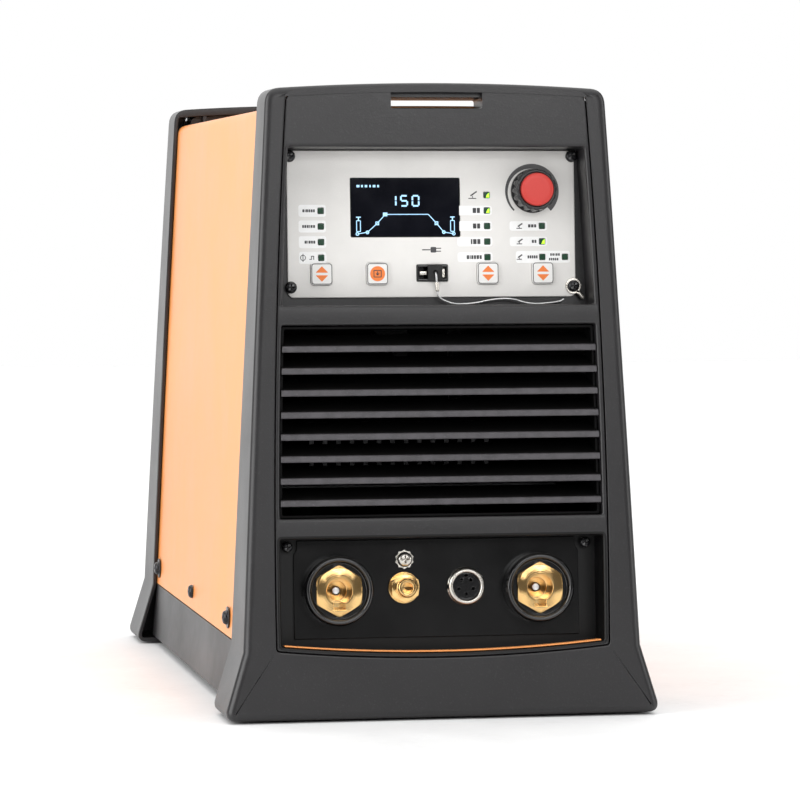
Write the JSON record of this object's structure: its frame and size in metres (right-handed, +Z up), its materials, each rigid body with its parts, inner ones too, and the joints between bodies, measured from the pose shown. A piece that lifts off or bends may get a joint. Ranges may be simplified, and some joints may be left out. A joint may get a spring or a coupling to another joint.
{
  "type": "tig welding machine",
  "caption": "Portable inverter TIG welding machine with moulded A-shaped end frames, orange cover, control panel, louvred grille and brass welding sockets.",
  "frame": {"origin": "on the floor under the feet, at the middle of the machine's outline", "axes": "+X to the machine's right seen from the front, +Y from front to back, +Z up"},
  "size_m": [0.2242, 0.4544, 0.325],
  "materials": {
    "frame_plastic": "fine moulded grain, satin",
    "grille_plastic": "fine moulded grain",
    "orange_paint": "satin powder coat",
    "tray_paint": "satin powder coat",
    "black_paint": "satin powder coat",
    "panel_paint": "light grey satin print",
    "display_glass": "gloss",
    "button_plastic": "satin",
    "lens_plastic": "clear tinted lens",
    "knob_black": "satin",
    "knob_red": "satin gloss",
    "socket_black": "gloss",
    "brass": "machined",
    "nickel": "bright plated",
    "screw_black": "black oxide",
    "rubber": "matt",
    "board_green": "solder resist",
    "aluminium": "extruded",
    "copper_winding": "enamelled wire"
  },
  "bodies": {
    "housing": {"front_frame": "frame_plastic", "rear_frame": "frame_plastic", "front_insert": "frame_plastic", "rear_insert": "frame_plastic", "front_grille": "grille_plastic", "rear_grille": "grille_plastic", "lower_trim_strip": "orange_paint", "cover": "orange_paint", "base_tray": "tray_paint", "cover_screw_left_1": "screw_black", "cover_screw_left_2": "screw_black", "cover_screw_left_3": "screw_black", "cover_screw_right_1": "screw_black", "cover_screw_right_2": "screw_black", "cover_screw_right_3": "screw_black", "foot_front_left": "rubber", "foot_rear_left": "rubber", "foot_front_right": "rubber", "foot_rear_right": "rubber", "control_panel": "panel_paint", "display_window": "display_glass", "control_board": "board_green", "light_guide": "lens_plastic", "usb_socket": "socket_black", "plug_tether": "nickel", "tether_lug": "nickel", "panel_screw_1": "screw_black", "panel_screw_2": "screw_black", "panel_screw_3": "screw_black", "panel_screw_4": "screw_black", "connector_panel": "black_paint", "connector_screw_left": "screw_black", "connector_screw_right": "screw_black", "weld_socket_left_flange": "socket_black", "weld_socket_left_insert": "brass", "weld_socket_right_flange": "socket_black", "weld_socket_right_insert": "brass", "gas_outlet": "brass", "remote_socket_shell": "nickel", "remote_socket_core": "socket_black", "ground_screw": "nickel", "inner_bracket": "aluminium", "heat_sink": "aluminium", "power_board": "board_green", "main_transformer": "copper_winding", "output_choke": "copper_winding", "gas_valve": "brass", "fan_housing": "black_paint", "mains_switch_body": "socket_black", "cable_gland": "rubber", "gas_inlet": "brass"},
    "encoder": {"encoder_knob": "knob_black", "knob_cap": "knob_red"},
    "left_mode_key": {"left_mode_button": "button_plastic"},
    "save_key": {"save_button": "button_plastic"},
    "trigger_mode_key": {"trigger_mode_button": "button_plastic"},
    "process_mode_key": {"process_mode_button": "button_plastic"},
    "dust_plug": {"usb_dust_plug": "rubber"},
    "mains_rocker": {"mains_switch_rocker": "knob_red"},
    "fan": {"fan_rotor": "grille_plastic"}
  },
  "joints": [
    {"name": "encoder_turn", "type": "hinge", "parent": "housing", "child": "encoder", "pos_m": [0.053, -0.19983, 0.27027], "axis": [0, -0.9979, 0.0652], "continuous": true},
    {"name": "left_mode_press", "type": "slide", "parent": "housing", "child": "left_mode_key", "axis": [0, 0.9979, -0.0652], "range_m": [0, 0.0005], "stiffness_N_per_m": 600},
    {"name": "save_press", "type": "slide", "parent": "housing", "child": "save_key", "axis": [0, 0.9979, -0.0652], "range_m": [0, 0.0005], "stiffness_N_per_m": 600},
    {"name": "trigger_mode_press", "type": "slide", "parent": "housing", "child": "trigger_mode_key", "axis": [0, 0.9979, -0.0652], "range_m": [0, 0.0005], "stiffness_N_per_m": 600},
    {"name": "process_mode_press", "type": "slide", "parent": "housing", "child": "process_mode_key", "axis": [0, 0.9979, -0.0652], "range_m": [0, 0.0005], "stiffness_N_per_m": 600},
    {"name": "dust_plug_pull", "type": "slide", "parent": "housing", "child": "dust_plug", "axis": [0, -0.9979, 0.0652], "range_m": [0, 0.008], "deforming": ["plug_tether"]},
    {"name": "mains_rocker_tip", "type": "hinge", "parent": "housing", "child": "mains_rocker", "pos_m": [0.046, 0.18733, 0.24991], "axis": [-1, 0, 0], "range_deg": [0, 20]},
    {"name": "fan_spin", "type": "hinge", "parent": "housing", "child": "fan", "pos_m": [0, 0.162, 0.1528], "axis": [0, 1, 0], "continuous": true}
  ]
}
